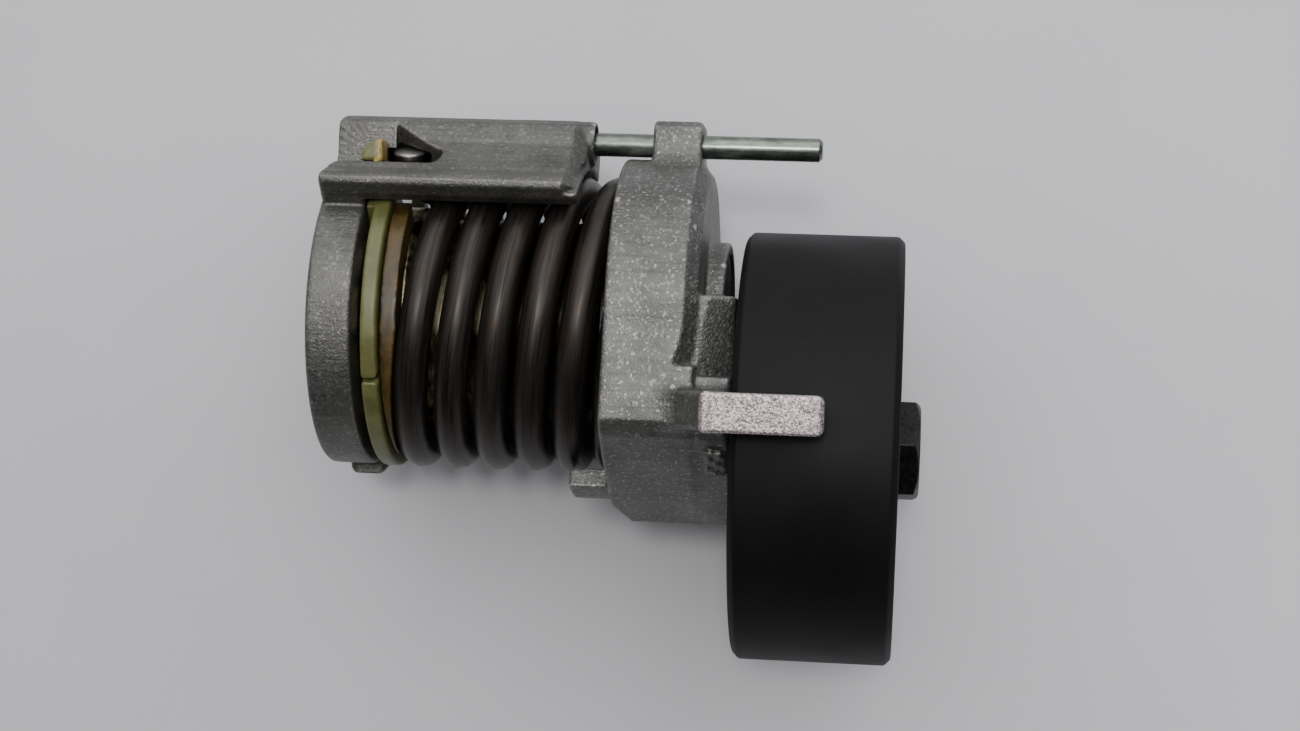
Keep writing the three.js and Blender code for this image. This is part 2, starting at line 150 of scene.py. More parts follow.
def arc(radius, start, end, steps):
    return [polar(radius, start + (end - start) * i / steps) for i in range(steps + 1)]


def sector_outline(inner, outer, start, end):
    steps = max(2, int(abs(end - start) / 2))
    return arc(inner, start, end, steps) + arc(outer, end, start, steps)


def coil_x(phi):
    """The helix, with a sine added because the coils lean a little."""
    return COIL_AT_TOP + PITCH * phi / 360 + COIL_LEAN * np.sin(np.radians(phi - LEAN_PHI))


# Meshes.
def add_mesh(name, verts, faces, smooth_angle=35):
    mesh = bpy.data.meshes.new(name)
    mesh.from_pydata([tuple(c * MM for c in v) for v in verts], [], faces)
    return add_object(name, mesh, smooth_angle)


def add_object(name, mesh, smooth_angle):
    mesh.validate()
    edit = bmesh.new()
    edit.from_mesh(mesh)
    bmesh.ops.recalc_face_normals(edit, faces=edit.faces)
    edit.to_mesh(mesh)
    edit.free()
    mesh.shade_smooth()
    if smooth_angle:
        mesh.set_sharp_from_angle(angle=math.radians(smooth_angle))
    obj = bpy.data.objects.new(name, mesh)
    joined.objects.link(obj)
    return obj


def lathe(name, profile, y=0.0, z=0.0, segments=SEGMENTS):
    """Turns a closed (x, radius) profile about an axis parallel to X."""
    verts = []
    rows = []
    for x, radius in profile:
        if radius <= 0:
            rows.append([len(verts)] * segments)
            verts.append((x, y, z))
            continue
        rows.append(list(range(len(verts), len(verts) + segments)))
        for i in range(segments):
            a = 2 * math.pi * i / segments
            verts.append((x, y + radius * math.sin(a), z + radius * math.cos(a)))
    faces = []
    for k, row in enumerate(rows):
        nxt = rows[(k + 1) % len(rows)]
        if k == len(rows) - 1 and profile[0][1] <= 0:
            break
        for i in range(segments):
            j = (i + 1) % segments
            corners = [row[i], row[j], nxt[j], nxt[i]]
            face = list(dict.fromkeys(corners))
            if len(face) > 2:
                faces.append(face)
    return add_mesh(name, verts, faces)


def rounded(profile, radius, steps=4):
    """Rounds each corner of a closed profile that lies off the axis."""
    count = len(profile)
    result = []
    for i, point in enumerate(profile):
        here = np.array(point, float)
        before = np.array(profile[i - 1], float) - here
        after = np.array(profile[(i + 1) % count], float) - here
        reach = min(radius, np.linalg.norm(before) * 0.45, np.linalg.norm(after) * 0.45)
        if point[1] <= 0 or reach <= 0:
            result.append(tuple(here))
            continue
        start = here + before / np.linalg.norm(before) * reach
        end = here + after / np.linalg.norm(after) * reach
        for k in range(steps + 1):
            t = k / steps
            result.append(tuple((1 - t) ** 2 * start + 2 * t * (1 - t) * here + t * t * end))
    return result


def sweep(name, points, radius, sides=24, bevel=0.35):
    """A round wire along points, with UV: U along it in millimetres, V around it."""
    path = [Vector(p) for p in points]
    tangent = (path[1] - path[0]).normalized()
    normal = tangent.orthogonal().normalized()
    verts = []
    lengths = [0.0]
    for i, point in enumerate(path):
        ahead = path[min(i + 1, len(path) - 1)]
        behind = path[max(i - 1, 0)]
        new_tangent = (ahead - behind).normalized()
        normal = tangent.rotation_difference(new_tangent) @ normal
        tangent = new_tangent
        side = tangent.cross(normal)
        shrink = radius
        if i in (0, len(path) - 1):
            shrink = radius - bevel
        for k in range(sides):
            a = 2 * math.pi * k / sides
            verts.append(point + normal * (shrink * math.cos(a)) + side * (shrink * math.sin(a)))
        if i:
            lengths.append(lengths[-1] + (point - path[i - 1]).length)
    faces = []
    for i in range(len(path) - 1):
        for k in range(sides):
            j = (k + 1) % sides
            faces.append([i * sides + k, i * sides + j, (i + 1) * sides + j, (i + 1) * sides + k])
    faces.append(list(range(sides)))
    last = (len(path) - 1) * sides
    faces.append([last + k for k in range(sides)])
    obj = add_mesh(name, verts, faces, 50)
    layer = obj.data.uv_layers.new(name="wire")
    for poly in obj.data.polygons:
        for loop in poly.loop_indices:
            vert = obj.data.loops[loop].vertex_index
            layer.data[loop].uv = (lengths[vert // sides], (vert % sides) / sides)
    return obj


# Solids as distance fields on a grid, so that joints between cast shapes get fillets.
class Field:
    def __init__(self, low, high, step):
        self.low = low
        self.step = step
        axes = [np.arange(a, b + step, step, dtype=np.float32) for a, b in zip(low, high)]
        self.x = axes[0][:, None, None]
        self.y = axes[1][None, :, None]
        self.z = axes[2][None, None, :]
        lean = math.radians(BRIDGE_NORMAL)
        self.s = self.y * math.cos(lean) - self.z * math.sin(lean)
        self.t = self.y * math.sin(lean) + self.z * math.cos(lean)
        self.shape = tuple(len(a) for a in axes)

    def slab(self, flat, axis, low, high, soft=0.0):
        """Limits a flat distance to a stretch along an axis, with edges rounded by soft."""
        ends = np.abs(axis - (low + high) / 2) - (high - low) / 2 + soft
        flat = flat + soft
        outside = np.sqrt(np.maximum(flat, 0) ** 2 + np.maximum(ends, 0) ** 2)
        return outside + np.minimum(np.maximum(flat, ends), 0) - soft

    def prism(self, outline, x0, x1, soft=0.0):
        return self.slab(polygon(self.y, self.z, outline), self.x, x0, x1, soft)

    def side_prism(self, outline, y0, y1, soft=0.0):
        """A prism of an (x, z) outline."""
        return self.slab(polygon(self.x, self.z, outline), self.y, y0, y1, soft)

    def rod(self, radius, x0, x1, y=0.0, z=0.0, soft=0.0):
        flat = np.sqrt((self.y - y) ** 2 + (self.z - z) ** 2) - radius
        return self.slab(flat, self.x, x0, x1, soft)

    def mesh(self, name, values):
        volume = openvdb.FloatGrid(self.step * 4)
        values = np.broadcast_to(values, self.shape)
        volume.copyFromArray(np.clip(values, -4 * self.step, 4 * self.step).astype(np.float32))
        points, quads = volume.convertToQuads()
        points = (points * self.step + np.array(self.low)) * MM
        mesh = bpy.data.meshes.new(name)
        mesh.vertices.add(len(points))
        mesh.vertices.foreach_set("co", points.astype(np.float32).ravel())
        mesh.loops.add(len(quads) * 4)
        mesh.loops.foreach_set("vertex_index", quads.astype(np.int32).ravel())
        mesh.polygons.add(len(quads))
        mesh.polygons.foreach_set("loop_start", np.arange(0, len(quads) * 4, 4, dtype=np.int32))
        mesh.update(calc_edges=True)
        return add_object(name, mesh, 0)


def polygon(u, v, outline):
    """Signed distance from (u, v) to a closed outline, negative inside."""
    nearest = None
    inside = None
    count = len(outline)
    for i in range(count):
        ax, ay = outline[i]
        bx, by = outline[(i + 1) % count]
        ex = bx - ax
        ey = by - ay
        wx = u - ax
        wy = v - ay
        along = np.clip((wx * ex + wy * ey) / (ex * ex + ey * ey), 0, 1)
        gap = (wx - ex * along) ** 2 + (wy - ey * along) ** 2
        crossing = ((ay <= v) & (v < by)) | ((by <= v) & (v < ay))
        reach = ax + (v - ay) * ex / ey if ey else np.inf
        flips = crossing & (u < reach)
        nearest = gap if nearest is None else np.minimum(nearest, gap)
        inside = flips if inside is None else inside ^ flips
    return np.where(inside, -1, 1) * np.sqrt(nearest)


def melt(a, b, radius=0.0):
    """Joins two solids with a fillet."""
    if not radius:
        return np.minimum(a, b)
    h = np.clip(0.5 + 0.5 * (b - a) / radius, 0, 1)
    return b * (1 - h) + a * h - radius * h * (1 - h)


def carve(a, b, radius=0.0):
    """Cuts b out of a, with its rim rounded."""
    return -melt(-a, b, radius)


# Materials.
class Nodes:
    def __init__(self, name, color, roughness, metallic):
        self.material = bpy.data.materials.new(name)
        self.material.use_nodes = True
        self.tree = self.material.node_tree
        self.shader = self.tree.nodes["Principled BSDF"]
        self.shader.inputs["Base Color"].default_value = (*color, 1)
        self.shader.inputs["Roughness"].default_value = roughness
        self.shader.inputs["Metallic"].default_value = metallic

    def node(self, kind, **settings):
        node = self.tree.nodes.new(kind)
        for key, value in settings.items():
            setattr(node, key, value)
        return node

    def link(self, source, target):
        self.tree.links.new(source, target)

    def place(self, scale=(1, 1, 1), uv=False):
        """Coordinates in millimetres, stretched by scale."""
        source = self.node("ShaderNodeTexCoord")
        mapping = self.node("ShaderNodeMapping")
        unit = 1 if uv else 1 / MM
        mapping.inputs["Scale"].default_value = tuple(unit * s for s in scale)
        self.link(source.outputs["UV" if uv else "Object"], mapping.inputs["Vector"])
        return mapping.outputs["Vector"]

    def noise(self, place, scale, detail=3.0, rough=0.55):
        node = self.node("ShaderNodeTexNoise")
        node.inputs["Scale"].default_value = scale
        node.inputs["Detail"].default_value = detail
        node.inputs["Roughness"].default_value = rough
        self.link(place, node.inputs["Vector"])
        return node.outputs["Fac"]

    def cells(self, place, scale):
        node = self.node("ShaderNodeTexVoronoi")
        node.inputs["Scale"].default_value = scale
        self.link(place, node.inputs["Vector"])
        return node

    def span(self, value, low, high, to_low=0.0, to_high=1.0):
        node = self.node("ShaderNodeMapRange")
        node.inputs["From Min"].default_value = low
        node.inputs["From Max"].default_value = high
        node.inputs["To Min"].default_value = to_low
        node.inputs["To Max"].default_value = to_high
        self.link(value, node.inputs["Value"])
        return node.outputs["Result"]

    def math(self, operation, a, b):
        node = self.node("ShaderNodeMath", operation=operation)
        for socket, value in zip(node.inputs, (a, b)):
            if isinstance(value, (int, float)):
                socket.default_value = value
            else:
                self.link(value, socket)
        return node.outputs["Value"]

    def axes(self, place):
        """The X, Y and Z sockets of a place."""
        split = self.node("ShaderNodeSeparateXYZ")
        self.link(place, split.inputs["Vector"])
        return split.outputs

    def mix(self, factor, low, high):
        node = self.node("ShaderNodeMix", data_type="RGBA")
        for socket, value in zip((node.inputs[0], node.inputs[6], node.inputs[7]), (factor, low, high)):
            if isinstance(value, tuple):
                socket.default_value = (*value, 1)
            else:
                self.link(value, socket)
        return node.outputs[2]

    def bump(self, height, strength, distance, below=None):
        node = self.node("ShaderNodeBump")
        node.inputs["Strength"].default_value = strength
        node.inputs["Distance"].default_value = distance * MM
        self.link(height, node.inputs["Height"])
        if below is not None:
            self.link(below, node.inputs["Normal"])
        return node.outputs["Normal"]

    def set(self, name, value):
        self.link(value, self.shader.inputs[name])


def edge_wear(n):
    """Pointiness, less a false bright band where a wall's normal runs at 45 degrees between Y and Z."""
    geometry = n.node("ShaderNodeNewGeometry")
    diagonal = n.node("ShaderNodeVectorMath", operation="DOT_PRODUCT")
    n.link(geometry.outputs["Normal"], diagonal.inputs[0])
    diagonal.inputs[1].default_value = (0, math.sqrt(0.5), math.sqrt(0.5))
    elsewhere = n.span(diagonal.outputs["Value"], 0.9996, 0.9990)
    return n.math("MULTIPLY", n.span(geometry.outputs["Pointiness"], 0.52, 0.62), elsewhere)


def cast_aluminium(name, dark, light, sparkle, streaks):
    """Cast grain with painted glints and worn edges; metal that stands above the pulley gets a painted pink
    glint in its base colour.
    """
    n = Nodes(name, light, 0.5, 0.8)
    place = n.place()
    blotch = n.noise(place, 0.12, 4)
    grain = n.noise(place, 1.6, 4, 0.7)
    speck = n.cells(place, 2.6)
    drag = n.noise(n.place((0.05, 1.4, 1.4)), 1.0, 3)
    tone = n.math("ADD", n.math("MULTIPLY", blotch, 0.4), n.math("MULTIPLY", grain, 0.4))
    tone = n.math("ADD", tone, n.math("MULTIPLY", drag, 0.2))
    color = n.mix(n.span(tone, 0.38, 0.62), dark, light)
    # Painted glints: bright specks painted into the base colour stand for light sparkling on the grain.
    glint = n.span(speck.outputs["Color"], 0.72, 0.95)
    color = n.mix(n.math("MULTIPLY", glint, sparkle), color, (0.80, 0.77, 0.76))
    color = n.mix(n.math("MULTIPLY", edge_wear(n), 0.6), color, (0.66, 0.63, 0.60))
    # Painted highlight: a pink glint painted on the lug's top, where it stands above the pulley.
    painted_glint_height = n.span(n.axes(place)["Z"], LUG_TOP - 3.1, LUG_TOP - 1.1)
    painted_glint_spots = n.span(n.noise(place, 2.4, 4, 0.8), 0.42, 0.62)
    color = n.mix(n.math("MULTIPLY", painted_glint_height, painted_glint_spots), color, (0.78, 0.62, 0.65))
    n.set("Base Color", color)
    n.set("Roughness", n.span(grain, 0.3, 0.7, 0.34, 0.58))
    flat = n.bump(drag, streaks, 0.12)
    flat = n.bump(speck.outputs["Distance"], 0.25 + sparkle * 0.6, 0.14, flat)
    n.set("Normal", n.bump(grain, 0.6, 0.18, flat))
    return n.material


def spring_steel():
    n = Nodes("dark_spring_steel", (0.012, 0.010, 0.009), 0.42, 0.7)
    along = n.place(uv=True)
    streak = n.noise(n.place((0.012, 7, 1), uv=True), 3.0, 4, 0.65)
    fine = n.noise(n.place((0.05, 26, 1), uv=True), 3.0, 3, 0.6)
    scuff = n.noise(n.place(), 0.35, 4)
    tone = n.math("ADD", n.math("MULTIPLY", streak, 0.6), n.math("MULTIPLY", fine, 0.4))
    dark = n.mix(n.span(tone, 0.36, 0.68), (0.005, 0.0045, 0.004), (0.055, 0.046, 0.039))
    rust = n.mix(n.span(scuff, 0.5, 0.78), dark, (0.03, 0.019, 0.012))
    cut_end = n.span(n.axes(along)["X"], 0.5, 0.3)
    n.set("Base Color", n.mix(cut_end, rust, (0.30, 0.29, 0.28)))
    n.set("Roughness", n.span(tone, 0.3, 0.7, 0.26, 0.46))
    n.set("Normal", n.bump(tone, 0.4, 0.1))
    return n.material


def pulley_black():
    n = Nodes("pulley_matte_black", (0.004, 0.004, 0.0042), 0.6, 0.0)
    place = n.place()
    fine = n.noise(n.place((0.35, 3, 3)), 1.2, 3)
    dust = n.cells(place, 0.09)
    smear = n.noise(place, 0.06, 3)
    color = n.mix(n.span(smear, 0.35, 0.7), (0.0022, 0.0022, 0.0024), (0.0045, 0.0045, 0.0047))
    fleck = n.span(dust.outputs["Distance"], 0.03, 0.012)
    n.set("Base Color", n.mix(n.math("MULTIPLY", fleck, 0.4), color, (0.03, 0.029, 0.028)))
    n.set("Roughness", n.span(smear, 0.3, 0.7, 0.5, 0.62))
    n.set("Normal", n.bump(fine, 0.12, 0.05))
    n.shader.inputs["Specular IOR Level"].default_value = 0.16
    return n.material


def plastic(name, dark, light, roughness, scale, streak=(1, 1, 1)):
    n = Nodes(name, light, roughness, 0.0)
    tone = n.noise(n.place(streak), scale, 4, 0.6)
    n.set("Base Color", n.mix(n.span(tone, 0.35, 0.65), dark, light))
    n.set("Roughness", n.span(tone, 0.3, 0.7, roughness * 0.75, roughness * 1.2))
    n.set("Normal", n.bump(tone, 0.2, 0.1))
    return n.material


def cream_nylon():
    """Natural nylon, stained brown at the tip of the tab and by specks of grease."""
    n = Nodes("cream_nylon", (0.5, 0.52, 0.3), 0.4, 0.0)
    place = n.place()
    tone = n.noise(place, 0.25, 4, 0.6)
    grease = n.noise(place, 0.9, 3)
    color = n.mix(n.span(tone, 0.35, 0.65), (0.075, 0.078, 0.022), (0.125, 0.13, 0.042))
    color = n.mix(n.span(grease, 0.62, 0.72), color, (0.16, 0.10, 0.03))
    axes = n.axes(place)
    on_tab = n.span(axes["Y"], 26.9, 27.4)
    tip = n.math("MULTIPLY", on_tab, n.span(axes["X"], 9.6, 10.3))
    color = n.mix(n.math("MULTIPLY", tip, n.span(grease, 0.3, 0.55)), color, (0.33, 0.22, 0.05))
    n.set("Base Color", color)
    n.set("Roughness", n.span(tone, 0.3, 0.7, 0.3, 0.48))
    n.set("Normal", n.bump(tone, 0.2, 0.1))
    n.shader.inputs["Subsurface Weight"].default_value = 0.25
    n.shader.inputs["Subsurface Scale"].default_value = 1.2 * MM
    return n.material


def greased_sleeve():
    """Bright steel near the base with black patches, turning near-black further along X, under the coils."""
    n = Nodes("greased_sleeve", (0.3, 0.27, 0.16), 0.3, 0.85)
    place = n.place()
    patch = n.noise(place, 0.16, 4)
    smear = n.noise(n.place((2, 0.4, 0.4)), 0.6, 3)
    # Darker towards higher X: near-black from X 21 to 33 onward, under the coils.
    bright_part = n.math("MULTIPLY", n.span(n.axes(place)["X"], 33, 21), n.span(patch, 0.36, 0.5))
    bright = n.mix(n.span(smear, 0.36, 0.64), (0.22, 0.17, 0.07), (0.70, 0.64, 0.40))
    n.set("Base Color", n.mix(bright_part, (0.006, 0.005, 0.004), bright))
    n.set("Roughness", n.span(smear, 0.3, 0.7, 0.2, 0.45))
    n.set("Normal", n.bump(smear, 0.3, 0.1))
    return n.material


def metal(name, dark, light, roughness, streak=(1, 1, 1), scale=1.0, bump=0.15):
    n = Nodes(name, light, roughness, 0.9)
    tone = n.noise(n.place(streak), scale, 4, 0.6)
    patch = n.noise(n.place(), 0.25, 3)
    both = n.math("ADD", n.math("MULTIPLY", tone, 0.6), n.math("MULTIPLY", patch, 0.4))
    n.set("Base Color", n.mix(n.span(both, 0.36, 0.64), dark, light))
    n.set("Roughness", n.span(both, 0.3, 0.7, roughness * 0.7, roughness * 1.25))
    n.set("Normal", n.bump(tone, bump, 0.08))
    return n.material


def make_materials():
    grained = (1, 0.5, 0.5)
    drawn = (0.25, 1.5, 1.5)
    even = (1, 1, 1)
    return {
        "base": cast_aluminium(
            "cast_aluminium_base", (0.07, 0.069, 0.064), (0.148, 0.146, 0.134), 0.14, 0.45,
        ),
        "arm": cast_aluminium(
            "cast_aluminium_arm", (0.072, 0.072, 0.068), (0.165, 0.164, 0.155), 0.28, 0.3,
        ),
        "spring": spring_steel(),
        "pulley": pulley_black(),
        "cream": cream_nylon(),
        "amber": plastic(
            "amber_greased_nylon", (0.012, 0.006, 0.001), (0.075, 0.045, 0.006), 0.42, 0.35, grained,
        ),
        "bright": greased_sleeve(),
        "steel": metal("ground_steel", (0.30, 0.30, 0.29), (0.58, 0.57, 0.55), 0.28, (0.2, 2, 2), 1.0),
        "zinc": metal("zinc_plate", (0.10, 0.12, 0.10), (0.24, 0.265, 0.23), 0.26, drawn, 1.2, 0.1),
        "bolt": metal("black_oxide", (0.010, 0.010, 0.010), (0.035, 0.034, 0.032), 0.42, even, 1.5, 0.25),
        "bronze": metal("sintered_bronze", (0.26, 0.17, 0.08), (0.45, 0.32, 0.16), 0.4, even, 3.0, 0.2),
        "rubber": plastic("black_rubber", (0.010, 0.010, 0.010), (0.024, 0.024, 0.024), 0.6, 1.2),
    }


MATERIALS = make_materials()
CAD_FINISH = {
    "cast_aluminium": "arm",
    "spring_steel": "spring",
    "bright_steel": "steel",
    "zinc": "zinc",
    "black_oxide": "bolt",
    "pulley_black": "pulley",
    "cream_nylon": "cream",
    "amber_nylon": "amber",
    "bronze": "bronze",
    "black_rubber": "rubber",
}
NODE_SLOT = {row["node"]: row["material_slot"] for row in frame["record"]["subparts"]}
NODE_BODY = {
    node: body for body, nodes in frame["record"]["behaviour"]["bodies"].items() for node in nodes
}


def stand_for(piece, node, material):
    """Makes a fine piece take the place of a CAD node."""
    extra(piece, node, material)
    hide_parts(node)


def extra(piece, beside, material):
    """Adds a piece that rides with a CAD node."""
    piece.data.materials.clear()
    piece.data.materials.append(MATERIALS[material])
    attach(piece, NODE_BODY[beside])


# Base casting.
def bridge_outline():
    under = arc(BRIDGE_INNER_R, BRIDGE_TO, BRIDGE_FROM, 36)
    rail = [(-7.7, 26.9), (-8.9, 28.2), (-9.8, 30.6), (-9.4, 31.6), (-8.3, 32), (-3.6, 31), (-3, 31.2)]
    face = [(4.9, 32.6), (9, 34.9), (11.7, 34.6), (15.8, 32.7), (19.1, 30.4), (22.6, 27.4), (24, 23.2)]
    return under + [on_bridge(s, t) for s, t in rail + face]


def bridge_plate(f):
    """The long bridge, with its plan corners rounded and its far end bevelled."""
    outer_y = 36.3
    corner = 1.9
    bevel = 2.6
    side = polygon(f.y, f.z, bridge_outline())
    plate = f.slab(side, f.x, BRIDGE_X0, BRIDGE_X1, 0.8)
    ends = np.maximum(BRIDGE_X0 - f.x, f.x - BRIDGE_X1) + corner
    edge = f.y - outer_y + corner
    plan = np.sqrt(np.maximum(ends, 0) ** 2 + np.maximum(edge, 0) ** 2) - corner
    slope = (side + f.x - BRIDGE_X1 + bevel) / math.sqrt(2)
    beyond_cavity = f.t > 29.4
    plate = np.where(beyond_cavity, np.maximum(plate, slope), plate)
    plate = np.maximum(plate, np.where(f.y > 30, plan, -1.0))
    rail_r = 2.4
    toe = np.sqrt(
        np.maximum(BRIDGE_X0 + rail_r - f.x, 0) ** 2 + np.maximum(f.y - RECESS_Y + rail_r, 0) ** 2
    ) - rail_r
    off = np.maximum(np.maximum(-toe, RECESS_FLOOR + 0.4 - f.z), f.x - BRIDGE_X0 - rail_r)
    return carve(plate, off, 0.3)


def window_field(f):
    """A level floor on the left, a wall that slopes down from the slanted edge, and a slot below."""
    open_x = BRIDGE_X0 - 1.5
    slant_x = 13.3
    level = [
        (open_x, RECESS_Y), (RECESS_STEP, RECESS_Y), (RECESS_STEP, RECESS_RIM_Y), (open_x, RECESS_RIM_Y),
    ]
    slanted = [
        (RECESS_STEP, RECESS_Y), (19.2, RECESS_Y), (20.4, 27.15), (21.2, 27.5), (21.75, 28.2), (21.9, 29),
        (21.8, 29.6), (21.4, 30.1), (slant_x, RECESS_RIM_Y), (RECESS_STEP, RECESS_RIM_Y),
    ]
    slot = [
        (7.2, -1.4), (18.7, -1.4), (19.6, 1.2), (18.6, 11.7), (10.9, 11.7), (10.9, 3.8), (7.2, 3.8),
    ]
    angle = np.arctan2(f.y - 27, 10.5 - f.x)
    reach = np.sqrt((f.y - 27) ** 2 + (10.5 - f.x) ** 2)
    flow = np.clip(np.sin(46 * angle) - 0.1, 0, 1) * np.clip((reach - 3.5) / 2, 0, 1) * (angle < 1.15)
    floor = RECESS_FLOOR + 0.22 * flow
    left = np.maximum(polygon(f.x, f.y, level), floor - f.z)
    wall = RECESS_FLOOR + 0.2 + 0.844 * (f.x - slant_x) + 0.684 * (f.y - RECESS_RIM_Y)
    right = np.maximum(polygon(f.x, f.y, slanted), (wall - f.z) / 1.476)
    through = f.slab(polygon(f.x, f.s, slot), f.t, 22, 30.6)
    return np.minimum(np.minimum(left, right), through)


def base_casting():
    f = Field((-1.5, -31, -28), (49.5, 38, 34), 0.36)
    disc = f.rod(BASE_R, BASE_X0, BASE_T, soft=0.8)
    pad = f.rod(PAD_R, 0, BASE_X0 + 1, soft=0.4)
    boss = f.rod(15, BASE_T - 1, 16, soft=0.6)
    root = f.prism(sector_outline(20, 29.2, BRIDGE_FROM, BRIDGE_TO), BRIDGE_X0, BASE_T, 0.5)
    ear = f.prism(sector_outline(24, 28.9, -128, -97), 3.5, 10.3, 1.6)
    pin_boss = f.rod(4.0, 34, PIN_BOSS_X1, PIN_Y, PIN_Z, soft=0.8)
    solid = melt(melt(disc, root, 0.5), boss, 1.0)
    solid = melt(solid, pad, 0.4)
    solid = melt(solid, bridge_plate(f), 0.6)
    solid = melt(solid, ear, 0.5)
    solid = melt(solid, pin_boss, 0.5)
    solid = carve(solid, window_field(f), 0.3)
    taper = (PIN_SOCKET_MOUTH_R - PIN_SOCKET_R) / (PIN_BOSS_X1 - PIN_X0 + 1)
    reach = np.sqrt((f.y - PIN_Y) ** 2 + (f.z - PIN_Z) ** 2)
    socket = np.maximum(reach - PIN_BORE_R - taper * (f.x - PIN_X0), PIN_X0 - 1.2 - f.x)
    solid = carve(solid, socket, 0.3)
    solid = carve(solid, f.rod(9.3, 3, 20))
    for phi in SCREW_ANGLES:
        y, z = polar(SCREW_CIRCLE_R, phi)
        solid = carve(solid, f.rod(SCREW_R, -3, 8, y, z), 0.5)
    piece = f.mesh("base_casting_fine", solid)
    stand_for(piece, "base_casting", "base")


# Arm casting.
def arm_outline():
    flank = [
        (-30, -15.5), (-33.8, -8), (-35, 0), (-30.5, 11.4), (-23, 24.9), (-18.8, 31), (-16, 33),
        (-14.2, 32.8),
    ]
    return arc(DRUM_R, 0, 228, 114) + flank


def web_outline():
    return [
        (5.3, 12), (5.3, 26.4), (0, 27), (-6.5, 27.4), (-8.2, 29.6), (-14.2, 31.6), (-16, 32.4), (-18.8, 31),
        (-23, 24.9), (-30.5, 11.4), (-35, 0), (-33.8, -8), (-30, -14), (-20, -18), (-4, -15),
    ]


def lug_block(f, under, top, x1, soft):
    outline = [(LUG_Y0, under), (LUG_Y1, under), (LUG_Y1, top), (LUG_Y0, top)]
    return f.prism(outline, LUG_X0, x1, soft)


def wrench_lug(f):
    """The lug over the pulley, its raised left rim, and the curved gusset down to the drum."""
    bar = lug_block(f, LUG_UNDER, LUG_TOP - 0.35, LUG_X1, 1.2)
    rim = lug_block(f, LUG_UNDER + 1.7, LUG_TOP, LUG_X0 + 2, 0.9)
    flank = [(57, 27), (62.5, 30.4), (66.5, 34), (69.6, 39), (71.6, 45), (BOSS_X1, 45), (BOSS_X1, 27)]
    gusset = f.side_prism(flank, LUG_Y0, LUG_Y1, 1.0)
    return melt(melt(gusset, bar, 1.0), rim, 0.4)


def gate_mark(f):
    """Rough metal left where the casting's gate was broken off."""
    rough = 0.21 * np.sin(3.1 * f.x + 1.3 * f.y) * np.sin(2.3 * f.y - 1.1 * f.x)
    stub = [(-20.6, 26.6), (-20.9, 29.2), (-25.2, 22.4), (-24.2, 21.4)]
    return f.prism(stub, 70.8, 74.5, 0.5) + rough


def arm_casting():
    f = Field((45, -37.5, -31.5), (97, 38.5, 49.5), 0.42)
    r = np.sqrt(f.y ** 2 + f.z ** 2)
    drum = f.prism(arm_outline(), DRUM_X0, DRUM_X1, 0.7)
    slope = (f.x - DRUM_X1 + 2.2) * 0.787 + (r - DRUM_R) * 0.617
    drum = np.where(f.y > -6.5, np.maximum(drum, slope), drum)
    low_corner = ((DRUM_X0 - 0.5 - f.x) * 4.3 + (-30.9 - f.y) * 3.6) / 5.61
    drum = np.maximum(drum, low_corner)
    web = f.prism(web_outline(), DRUM_X1 - 1.5, BOSS_X1, 0.5)
    fall = (f.x - DRUM_X1) * 0.55 + (f.z - 27.6) * 0.835
    web = np.where(f.y > -8.5, np.maximum(web, fall), web)
    hub = f.rod(HUB_R, DRUM_X1 - 1, HUB_X1, soft=0.6)
    body = melt(melt(drum, web, 0.6), hub, 0.8)
    tube = f.rod(ARM_TUBE_R, 45, CUP_FLOOR + 1)
    spigot = np.maximum(
        f.rod(13, 70, 82.3, PULLEY_Y, soft=0.5),
        np.sqrt((f.y - PULLEY_Y) ** 2 + f.z ** 2) - 13 + (f.x - 70) * 0.08,
    )
    pilot = f.rod(8.2, 80, 95.4, PULLEY_Y)
    body = melt(melt(body, spigot, 2.0), pilot)
    ear_outline = [
        (28.5, -5.5), (35.4, -4.5), (36.6, -3.2), (36.6, 5.4), (35.4, 6.9), (30.6, 7.6), (28.4, 9.4),
    ]
    body = melt(body, f.prism(ear_outline, 58.4, 67.1, 0.7), 0.9)
    body = melt(body, f.prism(sector_outline(27.9, 31.3, -81, -65), 46.3, DRUM_X0 + 3, 0.6), 0.5)
    body = melt(body, wrench_lug(f), 1.8)
    body = melt(body, gate_mark(f), 0.3)
    cup = np.maximum(f.rod(CUP_R, DRUM_X0 - 3, CUP_FLOOR), ARM_TUBE_R - r)
    body = carve(body, cup, 0.3)
    body = melt(body, tube)
    body = carve(body, f.rod(ARM_BORE_R, 40, ARM_BORE_X1))
    body = carve(body, f.rod(CAP_BORE_R, ARM_BORE_X1 - 0.1, HUB_X1 + 3), 0.3)
    body = carve(body, f.rod(BOLT_BORE_R, 71.5, 99, PULLEY_Y))
    body = carve(body, f.rod(PIN_BORE_R, 56, 70, PIN_Y, PIN_Z), 0.3)
    wall = [(17.2, ARM_BORE_R), (17.2, ARM_TUBE_R), (46, ARM_TUBE_R), (46, ARM_BORE_R)]
    tube_rest = lathe("arm_tube_fine", wall, segments=96)
    piece = f.mesh("arm_casting_fine", body)
    extra(tube_rest, "arm_casting", "arm")
    stand_for(piece, "arm_casting", "arm")


